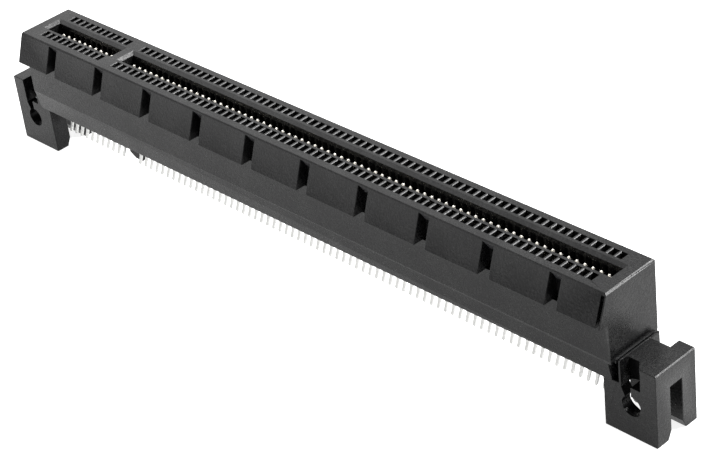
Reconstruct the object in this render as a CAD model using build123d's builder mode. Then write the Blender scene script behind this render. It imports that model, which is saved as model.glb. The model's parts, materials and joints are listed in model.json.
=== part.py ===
from build123d import *
import os

# A card edge connector for the edge of a board, in millimetres.
# X runs along the connector, the card and the board lie in the plane Y = 0,
# and +Z points the way the card leaves. The front is -Y.
# The origin is on the feet of the two ears, midway along, in the board's plane.

# Contacts: two blocks on each side of the key, and the groups that cards of
# each length reach
contact_pitch = 1.0
short_block_count = 11
long_block_count = 71
key_spacing = 3.0
contact_width = 0.52
contact_thickness = 0.22
group_counts = (11, 7, 14, 17, 33)

# Heights over the feet
overall_height = 16.2
head_bottom = 8.3
body_bottom = 5.7
slot_depth = 8.4
plate_top = 8.5
ledge_top = 8.38
ear_top = 8.1
groove_bottom = 7.75

# Head and body
head_width = 7.0
head_end_margin = 2.9
base_width = 5.9
top_bevel = 0.12
end_bevel = 0.4

# Ramp along the front of the head
ramp_reach = 1.28
ramp_drop = 3.5

# Pockets in the ramp
pocket_count = 10
pocket_pitch = 8.52
pocket_width = 1.4
pocket_lip = 0.3
pocket_depth = 0.65
pocket_roof_drop = 1.1
end_slot_width = 0.42
end_fin = 0.16

# Card slot and key
card_thickness = 1.57
card_clearance = 0.1
tongue_margin = 1.1
key_width = 1.8
slot_lead_in = 0.35

# Contact cavities
cavity_width = 0.68
cavity_inner = 1.56
cavity_outer = 2.65
rail_height = 0.85
shank_gap = 0.03

# Contact shape
tail_tip_height = 2.6
tail_touch_height = 3.7
tail_bend_height = 5.5
tail_flare = 0.42
board_touch_gap = 0.05
shank_rise = 0.6
card_grip = 0.66
touch_drop = 1.25
tip_drop = 0.9
tip_flare = 0.2

# Ears, from the last contact outward
ear_margin = 1.35
ledge_width = 0.2
groove_width = 0.2
end_wall_thickness = 0.25
channel_width = 2.3
plate_thickness = 1.9
foot_bevel = 0.12

# Slot for the board in each ear
board_thickness = 1.57
board_slot_clearance = 0.07
board_slot_top = 6.15
board_lead_in = 0.5
board_lead_height = 1.05

# Screw hole of each ear, the channel above it and the relief behind it
screw_height = 3.7
screw_radius = 1.15
channel_depth = 1.45
channel_turn_height = 5.5
flare_bottom = 5.9
throat_width = 0.6
throat_height = 4.3
relief_radius = 2.15
relief_depth = 0.85
back_recess_depth = 0.95
back_recess_bottom = 5.7

# Notch in the front, beside the ear at the +X end
notch_width = 0.8
notch_depth = 1.2
notch_bottom = 5.85
notch_top = 7.95

# Rib that locates the board at the key
rib_width = 2.5
rib_thickness = 1.2
rib_tip_height = 2.4
rib_bevel_length = 1.0
rib_bevel_height = 0.55
rib_round = 0.4

# Places that follow from the sizes
short_span = (short_block_count - 1) * contact_pitch
long_span = (long_block_count - 1) * contact_pitch
contact_span = short_span + key_spacing + long_span
first_contact = -contact_span / 2
short_block_x = first_contact + short_span / 2
key_x = first_contact + short_span + key_spacing / 2
long_block_x = first_contact + short_span + key_spacing + long_span / 2
head_half_length = contact_span / 2 + head_end_margin
slot_width = card_thickness + 2 * card_clearance
slot_length = contact_span + 2 * (tongue_margin + card_clearance)
slot_floor = overall_height - slot_depth
ramp_bottom = overall_height - ramp_drop
head_front = -head_width / 2
base_front = -base_width / 2
rail_bottom = overall_height - rail_height
shank_inner = cavity_inner + shank_gap
shank_slot = contact_thickness + 2 * shank_gap
board_gap = board_thickness + board_slot_clearance * 2
board_face = board_thickness / 2 + board_touch_gap
card_face = card_thickness / 2
ear_inner = contact_span / 2 + ear_margin
groove_inner = head_half_length + ledge_width
groove_outer = groove_inner + groove_width
end_wall_outer = groove_outer + end_wall_thickness
plate_inner = end_wall_outer + channel_width
ear_outer = plate_inner + plate_thickness
screw_x = end_wall_outer + channel_width / 2
blocks = ((short_block_x, short_block_count), (long_block_x, long_block_count))

os.makedirs("parts", exist_ok=True)


# One ear, at the +X end, with its slot for the board
with BuildPart() as ear:
    with BuildSketch(Plane.XZ):
        with BuildLine():
            Polyline(
                (ear_inner, 0),
                (ear_outer, 0),
                (ear_outer, plate_top),
                (plate_inner, plate_top),
                (plate_inner, ear_top),
                (end_wall_outer, ear_top),
                (end_wall_outer, plate_top),
                (groove_outer, plate_top),
                (groove_outer, groove_bottom),
                (groove_inner, groove_bottom),
                (groove_inner, ledge_top),
                (ear_inner, ledge_top),
                close=True,
            )
        make_face()
    extrude(amount=base_width / 2, both=True)
    chamfer(ear.edges().filter_by(Axis.Y).group_by(Axis.X)[-1], length=foot_bevel)
    # Shallow recess at the back, between the end wall and the end plate
    with BuildSketch(Plane.XZ.offset(back_recess_depth - base_width / 2)):
        with BuildLine():
            Polyline(
                (end_wall_outer, plate_top),
                (end_wall_outer, back_recess_bottom),
                (plate_inner, back_recess_bottom),
                (plate_inner, plate_top),
                close=True,
            )
        make_face()
    extrude(amount=-back_recess_depth, mode=Mode.SUBTRACT)
    # Slot that takes the board, open below with a flared mouth
    with BuildSketch(Plane.YZ.offset(ear_inner)):
        with BuildLine():
            Polyline(
                (-board_gap / 2 - board_lead_in, 0),
                (-board_gap / 2, board_lead_height),
                (-board_gap / 2, board_slot_top),
                (board_gap / 2, board_slot_top),
                (board_gap / 2, board_lead_height),
                (board_gap / 2 + board_lead_in, 0),
                close=True,
            )
        make_face()
    extrude(amount=ear_outer - ear_inner, mode=Mode.SUBTRACT)


# What is taken out of an ear for its screw: the hole through both legs, a round relief
# behind the front leg, and the channel that runs up the front from the hole.
# The channel is deep beside its -X wall and flares out to the front at the other side.
with BuildPart() as screw_way:
    with BuildSketch(Plane.XZ):
        with Locations((0, screw_height)):
            Circle(screw_radius)
    extrude(amount=base_width, both=True)
    with BuildSketch(Plane.XZ.offset(board_gap / 2)):
        with Locations((0, screw_height)):
            Circle(relief_radius)
    extrude(amount=relief_depth)
    with BuildSketch(Plane.XZ.offset(-base_front - channel_depth)):
        with BuildLine():
            Polyline(
                (-channel_width / 2, plate_top),
                (-channel_width / 2, channel_turn_height),
                (-throat_width, throat_height),
                (0, throat_height),
                (0, plate_top),
                close=True,
            )
        make_face()
    extrude(amount=2 * channel_depth)
    with BuildSketch(Plane.XY.offset(flare_bottom)):
        with BuildLine():
            Polyline(
                (0, base_front + channel_depth),
                (channel_width / 2, base_front),
                (channel_width / 2, base_front - channel_depth),
                (0, base_front - channel_depth),
                close=True,
            )
        make_face()
    extrude(amount=plate_top - flare_bottom)


# A pocket of the ramp: open at the front and below, with a sloping roof at its back
with BuildPart() as pocket:
    with BuildSketch(Plane.YZ):
        with BuildLine():
            Polyline(
                (head_front, overall_height - pocket_lip),
                (head_front - 2 * ramp_reach, overall_height - pocket_lip),
                (head_front - 2 * ramp_reach, ramp_bottom),
                (head_front + pocket_depth, ramp_bottom),
                (head_front + pocket_depth, overall_height - pocket_lip - pocket_roof_drop),
                close=True,
            )
        make_face()
    extrude(amount=pocket_width / 2, both=True)


# The cavity of one contact in the back row. It opens in the top and, under a thin rail,
# to the card. Its outer wall leans in to the narrow slot that holds the shank in the base.
with BuildPart() as cavity:
    with BuildSketch(Plane.YZ):
        with BuildLine():
            Polyline(
                (0, slot_floor),
                (cavity_inner, slot_floor),
                (cavity_inner, body_bottom),
                (cavity_inner + shank_slot, body_bottom),
                (cavity_inner + shank_slot, slot_floor),
                (cavity_outer, overall_height),
                (cavity_inner, overall_height),
                (slot_width / 2, rail_bottom),
                (0, rail_bottom),
                close=True,
            )
        make_face()
    extrude(amount=cavity_width / 2, both=True)


# The moulded housing: head, ramp, base and both ears in one piece
with BuildPart() as housing:
    with BuildSketch(Plane.YZ):
        with BuildLine():
            Polyline(
                (head_front, overall_height),
                (head_front - ramp_reach, ramp_bottom),
                (head_front, ramp_bottom),
                (head_front, head_bottom),
                (base_front, body_bottom),
                (-base_front, body_bottom),
                (head_width / 2, head_bottom),
                (head_width / 2, overall_height),
                close=True,
            )
        make_face()
    extrude(amount=head_half_length, both=True)
    top_edges = housing.edges().group_by(Axis.Z)[-1]
    chamfer(top_edges.filter_by(Axis.X), length=top_bevel)
    top_edges = housing.edges().group_by(Axis.Z)[-1]
    chamfer(top_edges.filter_by(Axis.Y), length=end_bevel)

    add(ear.part)
    add(mirror(ear.part, about=Plane.YZ, mode=Mode.PRIVATE))
    with Locations((screw_x, 0, 0), (-screw_x, 0, 0)):
        add(screw_way.part, mode=Mode.SUBTRACT)

    # Rib that stands in the board's notch below the key, bevelled towards -X
    with BuildSketch(Plane.XZ):
        with BuildLine():
            Polyline(
                (key_x - rib_width / 2, body_bottom),
                (key_x - rib_width / 2, rib_tip_height + rib_bevel_height),
                (key_x - rib_width / 2 + rib_bevel_length, rib_tip_height),
                (key_x + rib_width / 2, rib_tip_height),
                (key_x + rib_width / 2, body_bottom),
                close=True,
            )
        make_face()
    extrude(amount=rib_thickness / 2, both=True)
    rib_tip_edges = housing.edges().filter_by(Axis.Y).filter_by_position(
        Axis.Z, rib_tip_height - 0.01, rib_tip_height + 0.01
    )
    fillet(rib_tip_edges.sort_by(Axis.X)[-1], radius=rib_round)

    # Pockets along the ramp, a narrow slot at its right end, and the notch below that
    with GridLocations(pocket_pitch, 0, pocket_count, 1):
        add(pocket.part, mode=Mode.SUBTRACT)
    with BuildSketch(Plane.YZ.offset(head_half_length - end_fin)):
        with BuildLine():
            Polyline(
                (head_front, overall_height - pocket_lip),
                (head_front - 2 * ramp_reach, overall_height - pocket_lip),
                (head_front - 2 * ramp_reach, ramp_bottom),
                (head_front, ramp_bottom),
                close=True,
            )
        make_face()
    extrude(amount=-end_slot_width, mode=Mode.SUBTRACT)
    with BuildSketch(Plane.XZ.offset(-base_front - notch_depth)):
        with Locations((groove_outer, notch_bottom)):
            Rectangle(notch_width, notch_top - notch_bottom, align=(Align.MAX, Align.MIN))
    extrude(amount=2 * notch_depth, mode=Mode.SUBTRACT)

    # Card slot, in two lengths divided by the key, with bevelled top edges
    with BuildSketch(Plane.XY.offset(overall_height)):
        Rectangle(slot_length, slot_width)
        with Locations((key_x, 0)):
            Rectangle(key_width, slot_width, mode=Mode.SUBTRACT)
    extrude(amount=-slot_depth, mode=Mode.SUBTRACT)
    slot_edges = housing.edges().group_by(Axis.Z)[-1].filter_by_position(
        Axis.Y, -slot_width / 2, slot_width / 2
    )
    chamfer(slot_edges, length=slot_lead_in)

    # Contact cavities of both rows
    for row_cavity in (cavity.part, mirror(cavity.part, about=Plane.XZ, mode=Mode.PRIVATE)):
        for block_x, block_count in blocks:
            with Locations((block_x, 0, 0)):
                with GridLocations(contact_pitch, 0, block_count, 1):
                    add(row_cavity, mode=Mode.SUBTRACT)
housing.part.label = "housing"
export_step(housing.part, "parts/housing.step")
print(housing.part.volume, len(housing.part.solids()), len(housing.part.faces()))


# One stamped contact of the back row: tail on the board, shank in the base,
# spring arm up to the bend that touches the card, and a tip that leans away from it
with BuildPart() as contact:
    with BuildSketch(Plane.YZ):
        with BuildLine():
            inner_line = Polyline(
                (board_face + tail_flare, tail_tip_height),
                (board_face, tail_touch_height),
                (shank_inner, tail_bend_height),
                (shank_inner, slot_floor + shank_rise),
                (card_face - card_grip, overall_height - touch_drop),
                (card_face - card_grip + tip_flare, overall_height - tip_drop),
            )
            offset(inner_line, amount=contact_thickness, side=Side.RIGHT, kind=Kind.INTERSECTION)
        make_face()
    extrude(amount=contact_width / 2, both=True)
print(contact.part.volume, len(contact.part.faces()), contact.part.bounding_box())

# The contacts of each row, in the groups that a card of each length reaches
for row in ("front", "back"):
    row_contact = contact.part if row == "back" else mirror(contact.part, about=Plane.XZ)
    first = 1
    for count in group_counts:
        last = first + count - 1
        gap_at_key = key_spacing - contact_pitch if first > short_block_count else 0
        group_x = first_contact + gap_at_key + (first + last - 2) / 2 * contact_pitch
        with BuildPart() as contact_group:
            with Locations((group_x, 0, 0)):
                with GridLocations(contact_pitch, 0, count, 1):
                    add(row_contact)
        contact_group.part.label = f"{row}_contacts_{first}_to_{last}"
        export_step(contact_group.part, f"parts/{contact_group.part.label}.step")
        first = last + 1
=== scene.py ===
import json
import math

import bmesh
import bpy
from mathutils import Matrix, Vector

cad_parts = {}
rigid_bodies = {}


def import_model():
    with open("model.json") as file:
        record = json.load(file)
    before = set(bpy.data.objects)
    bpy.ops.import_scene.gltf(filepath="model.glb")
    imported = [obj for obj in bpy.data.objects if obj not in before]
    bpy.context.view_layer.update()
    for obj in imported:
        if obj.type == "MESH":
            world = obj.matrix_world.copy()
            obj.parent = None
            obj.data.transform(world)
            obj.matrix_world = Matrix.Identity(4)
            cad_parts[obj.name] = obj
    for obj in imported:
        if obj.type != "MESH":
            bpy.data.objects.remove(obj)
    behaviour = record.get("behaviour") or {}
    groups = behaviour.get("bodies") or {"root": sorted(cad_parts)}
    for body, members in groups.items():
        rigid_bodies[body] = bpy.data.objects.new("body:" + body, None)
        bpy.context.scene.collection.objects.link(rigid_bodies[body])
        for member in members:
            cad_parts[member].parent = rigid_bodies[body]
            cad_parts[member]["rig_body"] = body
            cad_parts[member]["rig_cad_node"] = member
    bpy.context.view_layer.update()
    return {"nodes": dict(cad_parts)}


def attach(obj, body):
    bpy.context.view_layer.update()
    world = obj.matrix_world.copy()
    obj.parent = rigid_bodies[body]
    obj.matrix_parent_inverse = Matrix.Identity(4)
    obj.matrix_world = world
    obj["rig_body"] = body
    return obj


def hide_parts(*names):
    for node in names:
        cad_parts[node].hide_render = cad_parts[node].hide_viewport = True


# A card edge connector on a pale table. Lengths are in metres, in the part's own frame:
# X along the connector, -Y the ramped front, +Z up, feet on Z = 0.
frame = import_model()
mm = 0.001

# How close two points are to be one, how far a place may lie off, and how flat is flat
merge_distance = 0.001 * mm
tolerance = 0.01 * mm
flat_angle = math.radians(1.0)
housing_smooth_angle = math.radians(15)
contact_smooth_angle = math.radians(35)

# Contacts: how many stand in each group, where the first one stands, the room at the key,
# and the heights between which tin gives way to gold
pitch = 1.0 * mm
group_counts = {"1_to_11": 11, "12_to_18": 7, "19_to_32": 14, "33_to_49": 17, "50_to_82": 33}
first_contact_x = -41.5 * mm
key_extra = 2.0 * mm
plating_bottom = 5.5 * mm
plating_top = 6.3 * mm

# Housing: its head with slot and ribs, its ears with channels, and where its edges are eased
head_top = 16.2 * mm
head_end_x = 44.4 * mm
head_side_y = 3.5 * mm
head_edge_y = 3.38 * mm
top_bevel = 0.12 * mm
front_bevel = 0.04 * mm
end_bevel = 0.2 * mm
node_end_bevel = 0.4 * mm
bevel_search_x = 43.5 * mm
end_slot_top = 15.9 * mm
ramp_reach = 1.28 * mm
ramp_drop = 3.5 * mm
ramp_slant = math.cos(math.atan2(ramp_reach, ramp_drop))
cavity_inner = 1.56 * mm
cavity_outer = 2.65 * mm
cavity_allowance = 0.05 * mm
slot_end_x = 42.8 * mm
screw_x = 46.2 * mm
channel_half_width = 1.16 * mm
# The next five bound the screw channel faces that are painted darker: painted shade
channel_reach_x = 1.5 * mm
channel_front_y = -2.93 * mm
channel_back_y = -0.6 * mm
screw_z = 3.7 * mm
channel_top = 8.05 * mm
channel_corner_top = 8.4 * mm
fin_inner_x = 43.7 * mm
fin_bottom = 12.6 * mm
fin_allowance = 0.1 * mm
body_bottom = 5.65 * mm
# The next four bound the pocket roof faces that are painted paler: painted light
pocket_back_y = -2.8 * mm
roof_bottom = 14.7 * mm
roof_slope_steepest = -0.9
roof_slope_flattest = -0.3
rib_easing = 0.078 * mm
edge_easing = 0.07 * mm
shortest_eased_edge = 0.15 * mm


def select_nothing():
    if bpy.context.object and bpy.context.object.mode != "OBJECT":
        bpy.ops.object.mode_set(mode="OBJECT")
    bpy.ops.object.select_all(action="DESELECT")


def make_active(piece):
    select_nothing()
    piece.select_set(True)
    bpy.context.view_layer.objects.active = piece


def apply_modifiers(piece):
    make_active(piece)
    for modifier in list(piece.modifiers):
        bpy.ops.object.modifier_apply(modifier=modifier.name)


# Shader node groups

def new_group(name, inputs, outputs):
    group = bpy.data.node_groups.new(name, "ShaderNodeTree")
    for socket_name, kind, value in inputs:
        socket = group.interface.new_socket(name=socket_name, in_out="INPUT", socket_type=kind)
        if value is not None:
            socket.default_value = value
    for socket_name, kind in outputs:
        group.interface.new_socket(name=socket_name, in_out="OUTPUT", socket_type=kind)
    return group


def moulded_grain_group():
    """Fine speckle and soft clouds over a surface: a mask for colour and a height for bump."""
    group = new_group(
        "moulded_grain",
        [("Vector", "NodeSocketVector", None), ("Speckle Scale", "NodeSocketFloat", 4200.0),
         ("Cloud Scale", "NodeSocketFloat", 260.0)],
        [("Mask", "NodeSocketFloat"), ("Height", "NodeSocketFloat")],
    )
    nodes, links = group.nodes, group.links
    source = nodes.new("NodeGroupInput")
    result = nodes.new("NodeGroupOutput")
    speckle = nodes.new("ShaderNodeTexNoise")
    speckle.inputs["Detail"].default_value = 3.0
    speckle.inputs["Roughness"].default_value = 0.65
    cloud = nodes.new("ShaderNodeTexNoise")
    cloud.inputs["Detail"].default_value = 4.0
    links.new(source.outputs["Vector"], speckle.inputs["Vector"])
    links.new(source.outputs["Vector"], cloud.inputs["Vector"])
    links.new(source.outputs["Speckle Scale"], speckle.inputs["Scale"])
    links.new(source.outputs["Cloud Scale"], cloud.inputs["Scale"])
    both = nodes.new("ShaderNodeMath")
    both.operation = "MULTIPLY_ADD"
    both.inputs[1].default_value = 0.65
    quarter = nodes.new("ShaderNodeMath")
    quarter.operation = "MULTIPLY"
    quarter.inputs[1].default_value = 0.35
    links.new(cloud.outputs["Fac"], quarter.inputs[0])
    links.new(speckle.outputs["Fac"], both.inputs[0])
    links.new(quarter.outputs["Value"], both.inputs[2])
    links.new(both.outputs["Value"], result.inputs["Mask"])
    links.new(speckle.outputs["Fac"], result.inputs["Height"])
    return group


def stretch(nodes, links, value, low, high, to_low, to_high):
    """A value from low..high spread over to_low..to_high."""
    spread = nodes.new("ShaderNodeMapRange")
    spread.inputs["From Min"].default_value = low
    spread.inputs["From Max"].default_value = high
    spread.inputs["To Min"].default_value = to_low
    spread.inputs["To Max"].default_value = to_high
    links.new(value, spread.inputs["Value"])
    return spread.outputs["Result"]


def new_material(name):
    material = bpy.data.materials.new(name)
    material.use_nodes = True
    nodes = material.node_tree.nodes
    return material, nodes, material.node_tree.links, nodes["Principled BSDF"]


def moulded_plastic(name, grain, dark, pale, rough, satin, gloss):
    """Black glass-filled plastic with a fine satin skin."""
    material, nodes, links, shader = new_material(name)
    place = nodes.new("ShaderNodeTexCoord")
    speck = nodes.new("ShaderNodeGroup")
    speck.node_tree = grain
    links.new(place.outputs["Object"], speck.inputs["Vector"])
    colours = nodes.new("ShaderNodeMix")
    colours.data_type = "RGBA"
    colours.inputs["A"].default_value = (dark, dark, 1.1 * dark, 1)
    colours.inputs["B"].default_value = (pale, pale, pale, 1)
    mask = speck.outputs["Mask"]
    links.new(stretch(nodes, links, mask, 0.46, 0.66, 0.0, 1.0), colours.inputs["Factor"])
    links.new(colours.outputs["Result"], shader.inputs["Base Color"])
    links.new(stretch(nodes, links, mask, 0.35, 0.65, rough, satin), shader.inputs["Roughness"])
    shader.inputs["Specular IOR Level"].default_value = gloss
    bump = nodes.new("ShaderNodeBump")
    bump.inputs["Strength"].default_value = 1.0
    bump.inputs["Distance"].default_value = 0.024 * mm
    links.new(speck.outputs["Height"], bump.inputs["Height"])
    links.new(bump.outputs["Normal"], shader.inputs["Normal"])
    return material


def contact_metal(grain):
    """Spring alloy with thin gold on the arm and dull tin on the tail."""
    material, nodes, links, shader = new_material("contact_metal")
    place = nodes.new("ShaderNodeTexCoord")
    speck = nodes.new("ShaderNodeGroup")
    speck.node_tree = grain
    speck.inputs["Speckle Scale"].default_value = 5200.0
    links.new(place.outputs["Object"], speck.inputs["Vector"])
    split = nodes.new("ShaderNodeSeparateXYZ")
    links.new(place.outputs["Object"], split.inputs["Vector"])
    plated = stretch(nodes, links, split.outputs["Z"], plating_bottom, plating_top, 0.0, 1.0)
    colours = nodes.new("ShaderNodeMix")
    colours.data_type = "RGBA"
    colours.inputs["A"].default_value = (0.62, 0.62, 0.61, 1)
    colours.inputs["B"].default_value = (1.0, 0.97, 0.90, 1)
    links.new(plated, colours.inputs["Factor"])
    links.new(colours.outputs["Result"], shader.inputs["Base Color"])
    shader.inputs["Metallic"].default_value = 1.0
    mask = speck.outputs["Mask"]
    links.new(stretch(nodes, links, mask, 0.3, 0.7, 0.5, 0.64), shader.inputs["Roughness"])
    bump = nodes.new("ShaderNodeBump")
    bump.inputs["Strength"].default_value = 0.2
    bump.inputs["Distance"].default_value = 0.008 * mm
    links.new(speck.outputs["Height"], bump.inputs["Height"])
    links.new(bump.outputs["Normal"], shader.inputs["Normal"])
    return material


def table_top():
    material, nodes, links, shader = new_material("table_top")
    place = nodes.new("ShaderNodeTexCoord")
    cloud = nodes.new("ShaderNodeTexNoise")
    cloud.inputs["Scale"].default_value = 6.0
    links.new(place.outputs["Object"], cloud.inputs["Vector"])
    colours = nodes.new("ShaderNodeMix")
    colours.data_type = "RGBA"
    colours.inputs["A"].default_value = (0.42, 0.42, 0.42, 1)
    colours.inputs["B"].default_value = (0.48, 0.48, 0.48, 1)
    links.new(cloud.outputs["Fac"], colours.inputs["Factor"])
    links.new(colours.outputs["Result"], shader.inputs["Base Color"])
    shader.inputs["Roughness"].default_value = 0.9
    shader.inputs["Specular IOR Level"].default_value = 0.2
    shader.inputs["Emission Color"].default_value = (1, 1, 1, 1)
    shader.inputs["Emission Strength"].default_value = 0.85
    return material


# Pieces

def pick_edges(piece, wanted):
    """Leaves only the edges selected for which wanted(edge, its two ends) is true."""
    bpy.ops.mesh.select_mode(type="EDGE")
    bpy.ops.mesh.select_all(action="DESELECT")
    mesh = bmesh.from_edit_mesh(piece.data)
    for edge in mesh.edges:
        if len(edge.link_faces) == 2 and wanted(edge, [vertex.co for vertex in edge.verts]):
            edge.select_set(True)
    bmesh.update_edit_mesh(piece.data)


def near(value, wanted):
    return abs(value - wanted) < tolerance


def pick_top(piece):
    """Leaves only the head's flat top selected."""
    bpy.ops.mesh.select_mode(type="FACE")
    bpy.ops.mesh.select_all(action="DESELECT")
    mesh = bmesh.from_edit_mesh(piece.data)
    for face in mesh.faces:
        face.select_set(face.normal.z > 0.99 and near(face.calc_center_median().z, head_top))
    bmesh.update_edit_mesh(piece.data)


def turns_by(edge, low, high):
    return edge.is_convex and math.radians(low) < edge.calc_face_angle() < math.radians(high)


def on_rib_side(edge, ends):
    """The two long top edges of each rib between neighbouring contact cavities."""
    return (
        turns_by(edge, 60, 100)
        and all(end.z > head_top - tolerance for end in ends)
        and all(cavity_inner - tolerance < abs(end.y) < cavity_outer + tolerance for end in ends)
        and near(ends[0].x, ends[1].x)
    )


def on_outside(edge, ends):
    """The outer corners of head, base and ears, but not of slot, cavities, channels or fin."""
    in_slot = all(
        abs(end.y) < cavity_outer + cavity_allowance
        and end.z > body_bottom
        and abs(end.x) < slot_end_x
        for end in ends
    )
    in_channel = all(
        abs(abs(end.x) - screw_x) < channel_half_width and end.z < channel_corner_top
        for end in ends
    )
    on_fin = all(
        end.x > fin_inner_x and end.z > fin_bottom - fin_allowance and end.y < 0
        for end in ends
    )
    long_corner = turns_by(edge, 60, 120) and edge.calc_length() >= shortest_eased_edge
    return long_corner and not (in_slot or in_channel or on_fin)


def merge_flat_faces():
    """Welds the open piece's loose triangles and joins those that lie in one plane."""
    bpy.ops.mesh.select_all(action="SELECT")
    bpy.ops.mesh.remove_doubles(threshold=merge_distance)
    bpy.ops.mesh.dissolve_limited(angle_limit=flat_angle)


def ease_top(piece):
    """Draws the head's top out flat to small bevels at its front and ends."""
    mesh = bmesh.from_edit_mesh(piece.data)
    for vertex in mesh.verts:
        place = vertex.co
        if near(place.y, -head_edge_y) and near(place.z, head_top):
            place.y = front_bevel - head_side_y
        if abs(place.x) < bevel_search_x or place.z < head_top - node_end_bevel - tolerance:
            continue
        if near(place.z, end_slot_top):
            continue
        at_front = place.y < -head_side_y
        if place.z < head_top - node_end_bevel + tolerance:
            place.z = head_top - end_bevel
        elif place.z < head_top - tolerance:
            place.z = head_top - (front_bevel * ramp_slant if at_front else top_bevel)
        reach = min(head_end_x, head_end_x - end_bevel + head_top - place.z)
        place.x = math.copysign(reach, place.x)
        if at_front:
            place.y = -head_side_y - ramp_reach * (head_top - place.z) / ramp_drop
    bmesh.update_edit_mesh(piece.data)
    merge_flat_faces()


def moulded_housing(plastic, roof_painted_light_plastic, channel_painted_shade_plastic):
    """The housing with its moulded edges eased, from a merged copy of the CAD node, with painted
    light on its pocket roofs and painted shade in its screw channels.
    """
    node = frame["nodes"]["housing"]
    piece = node.copy()
    piece.data = node.data.copy()
    piece.name = "moulded_housing"
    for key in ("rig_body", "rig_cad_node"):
        if key in piece:
            del piece[key]
    piece.parent = None
    bpy.context.scene.collection.objects.link(piece)
    make_active(piece)
    bpy.ops.object.mode_set(mode="EDIT")
    merge_flat_faces()
    ease_top(piece)
    for side in (-cavity_outer, -cavity_inner, cavity_inner, cavity_outer):
        pick_top(piece)
        bpy.ops.mesh.bisect(plane_co=(0, side, 0), plane_no=(0, 1, 0))
    pick_edges(piece, on_rib_side)
    bpy.ops.mesh.bevel(offset=rib_easing, offset_type="OFFSET", segments=1, clamp_overlap=False)
    pick_edges(piece, on_outside)
    bpy.ops.mesh.bevel(
        offset=edge_easing, offset_type="OFFSET", segments=2, profile=0.5, clamp_overlap=False
    )
    bpy.ops.mesh.select_all(action="SELECT")
    bpy.ops.mesh.dissolve_degenerate(threshold=merge_distance)
    bpy.ops.object.mode_set(mode="OBJECT")
    bpy.ops.object.shade_smooth_by_angle(angle=housing_smooth_angle)
    piece.data.materials.clear()
    for material in (plastic, roof_painted_light_plastic, channel_painted_shade_plastic):
        piece.data.materials.append(material)
    for face in piece.data.polygons:
        place = face.center
        # Pocket roofs facing down get a paler copy of the plastic: painted light
        if (
            place.y < pocket_back_y
            and place.z > roof_bottom
            and roof_slope_steepest < face.normal.z < roof_slope_flattest
        ):
            face.material_index = 1
        # Screw channel faces get a darker, duller copy of the plastic: painted shade
        elif (
            abs(abs(place.x) - screw_x) < channel_reach_x
            and screw_z < place.z < channel_top
            and channel_front_y < place.y < channel_back_y
        ):
            face.material_index = 2
    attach(piece, "root")
    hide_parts("housing")
    return piece


# Level sections of one back contact, from its tail up: inner side, outer side, height and
# half width, in millimetres. The tail is narrower than the arm, and the tip is rounded.
contact_sections = (
    (1.31, 1.43, 2.62, 0.12),
    (1.20, 1.45, 2.78, 0.17),
    (0.94, 1.17, 3.46, 0.17),
    (0.87, 1.10, 3.72, 0.17),
    (0.95, 1.18, 3.98, 0.17),
    (1.50, 1.73, 5.30, 0.17),
    (1.58, 1.80, 5.62, 0.26),
    (1.59, 1.81, 8.30, 0.26),
    (1.50, 1.73, 8.80, 0.24),
    (0.33, 0.56, 14.00, 0.20),
    (0.15, 0.37, 14.68, 0.18),
    (0.15, 0.38, 14.82, 0.17),
    (0.19, 0.41, 14.94, 0.14),
    (0.26, 0.37, 15.02, 0.08),
)


def one_contact():
    """A stamped contact of the back row at X = 0, drawn up from the end of its tail."""
    select_nothing()
    inner, outer, height, half_width = contact_sections[0]
    bpy.ops.mesh.primitive_plane_add(size=1.0, location=(0, 0, 0))
    piece = bpy.context.object
    bpy.ops.object.mode_set(mode="EDIT")
    middle = Vector((0, (inner + outer) / 2, height)) * mm
    bpy.ops.transform.resize(
        value=(2 * half_width * mm, (outer - inner) * mm, 1), center_override=(0, 0, 0)
    )
    bpy.ops.transform.translate(value=middle)
    for section in contact_sections[1:]:
        depth = outer - inner
        width = half_width
        inner, outer, height, half_width = section
        target = Vector((0, (inner + outer) / 2, height)) * mm
        bpy.ops.mesh.extrude_region_move(TRANSFORM_OT_translate={"value": target - middle})
        bpy.ops.transform.resize(
            value=(half_width / width, (outer - inner) / depth, 1), center_override=target
        )
        middle = target
    bpy.ops.mesh.select_all(action="SELECT")
    bpy.ops.mesh.normals_make_consistent(inside=False)
    bpy.ops.object.mode_set(mode="OBJECT")
    bpy.ops.object.shade_smooth_by_angle(angle=contact_smooth_angle)
    return piece


def contact_row(model, row, name, count, start_x, metal):
    """The contacts of one group, pitch apart, from a copy of the model contact."""
    piece = model.copy()
    piece.data = model.data.copy()
    piece.name = row + "_row_" + name
    bpy.context.scene.collection.objects.link(piece)
    make_active(piece)
    repeat = piece.modifiers.new("repeat", "ARRAY")
    repeat.count = count
    repeat.use_relative_offset = False
    repeat.use_constant_offset = True
    repeat.constant_offset_displace = (pitch, 0, 0)
    apply_modifiers(piece)
    bpy.ops.object.mode_set(mode="EDIT")
    bpy.ops.mesh.select_all(action="SELECT")
    bpy.ops.transform.translate(value=(start_x, 0, 0))
    if row == "front":
        bpy.ops.transform.resize(value=(1, -1, 1), center_override=(0, 0, 0))
        bpy.ops.mesh.normals_make_consistent(inside=False)
    bpy.ops.object.mode_set(mode="OBJECT")
    piece.data.materials.clear()
    piece.data.materials.append(metal)
    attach(piece, "root")
    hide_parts(row + "_contacts_" + name)
    return piece


def light(name, place, size, power, aim):
    lamp = bpy.data.lights.new(name, "AREA")
    lamp.shape = "RECTANGLE"
    lamp.size, lamp.size_y = size
    lamp.energy = power
    item = bpy.data.objects.new(name, lamp)
    bpy.context.scene.collection.objects.link(item)
    item.location = place
    item.rotation_euler = (Vector(aim) - Vector(place)).to_track_quat("-Z", "Y").to_euler()
    return item


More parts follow.
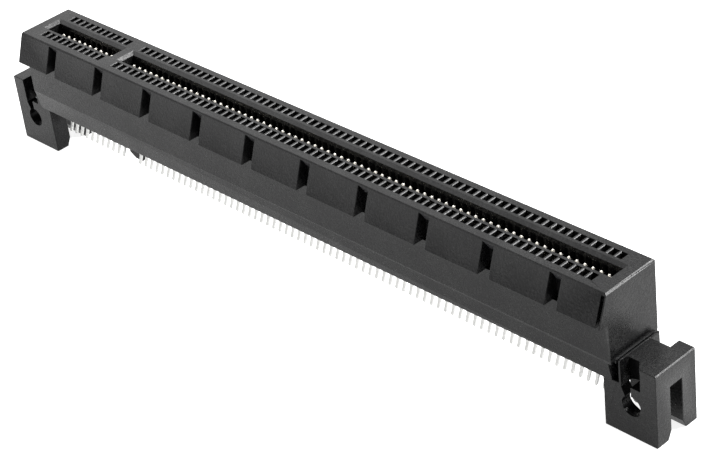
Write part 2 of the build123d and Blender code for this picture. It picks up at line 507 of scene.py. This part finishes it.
grain = moulded_grain_group()
plastic = moulded_plastic("housing_plastic", grain, 0.002, 0.012, 0.34, 0.22, 0.16)
# A paler copy of the plastic for the pocket roofs: painted light
roof_painted_light_plastic = moulded_plastic("pocket_roof_painted_light", grain, 0.02, 0.06, 0.6, 0.5, 0.2)
# A darker, duller copy of the plastic for the screw channels: painted shade
channel_painted_shade_plastic = moulded_plastic("screw_channel_painted_shade", grain, 0.001, 0.004, 0.5, 0.4, 0.03)
metal = contact_metal(grain)

for name, node in frame["nodes"].items():
    node.data.materials.clear()
    node.data.materials.append(plastic if name == "housing" else metal)

moulded_housing(plastic, roof_painted_light_plastic, channel_painted_shade_plastic)

model_contact = one_contact()
for row in ("front", "back"):
    passed = 0
    for name, count in group_counts.items():
        start_x = first_contact_x + passed * pitch + (key_extra if passed else 0)
        contact_row(model_contact, row, name, count, start_x, metal)
        passed += count
bpy.data.objects.remove(model_contact, do_unlink=True)

# Table, lights and camera
select_nothing()
bpy.ops.mesh.primitive_plane_add(size=6.0, location=(0, 0, 0))
floor = bpy.context.object
floor.name = "table"
floor.data.materials.append(table_top())

world = bpy.data.worlds.new("studio")
bpy.context.scene.world = world
world.use_nodes = True
world.node_tree.nodes["Background"].inputs["Color"].default_value = (1, 1, 1, 1)
world.node_tree.nodes["Background"].inputs["Strength"].default_value = 0.35

light("softbox_right_back", (0.240, 0.250, 0.300), (0.16, 0.27), 5.6, (0.01, 0, 0.016))
light("softbox_above", (-0.12, 0.10, 0.40), (0.30, 0.30), 1.8, (0, 0, 0.016))
light("softbox_left", (-0.45, 0.0, 0.34), (1.10, 0.47), 3.0, (0, 0, 0.016))
light("softbox_front_left", (-0.39, -0.34, 0.32), (0.30, 0.30), 0.8, (0, 0, 0.016))

camera_data = bpy.data.cameras.new("camera")
camera = bpy.data.objects.new("camera", camera_data)
bpy.context.scene.collection.objects.link(camera)
camera.location = (152.73 * mm, -124.98 * mm, 131.45 * mm)
camera.rotation_euler = [math.radians(turn) for turn in (56.777, 6.210, 45.395)]
camera_data.sensor_width = 36.0
camera_data.lens = 109.98
camera_data.clip_start = 10 * mm
bpy.context.scene.camera = camera
bpy.context.scene.view_settings.view_transform = "Standard"
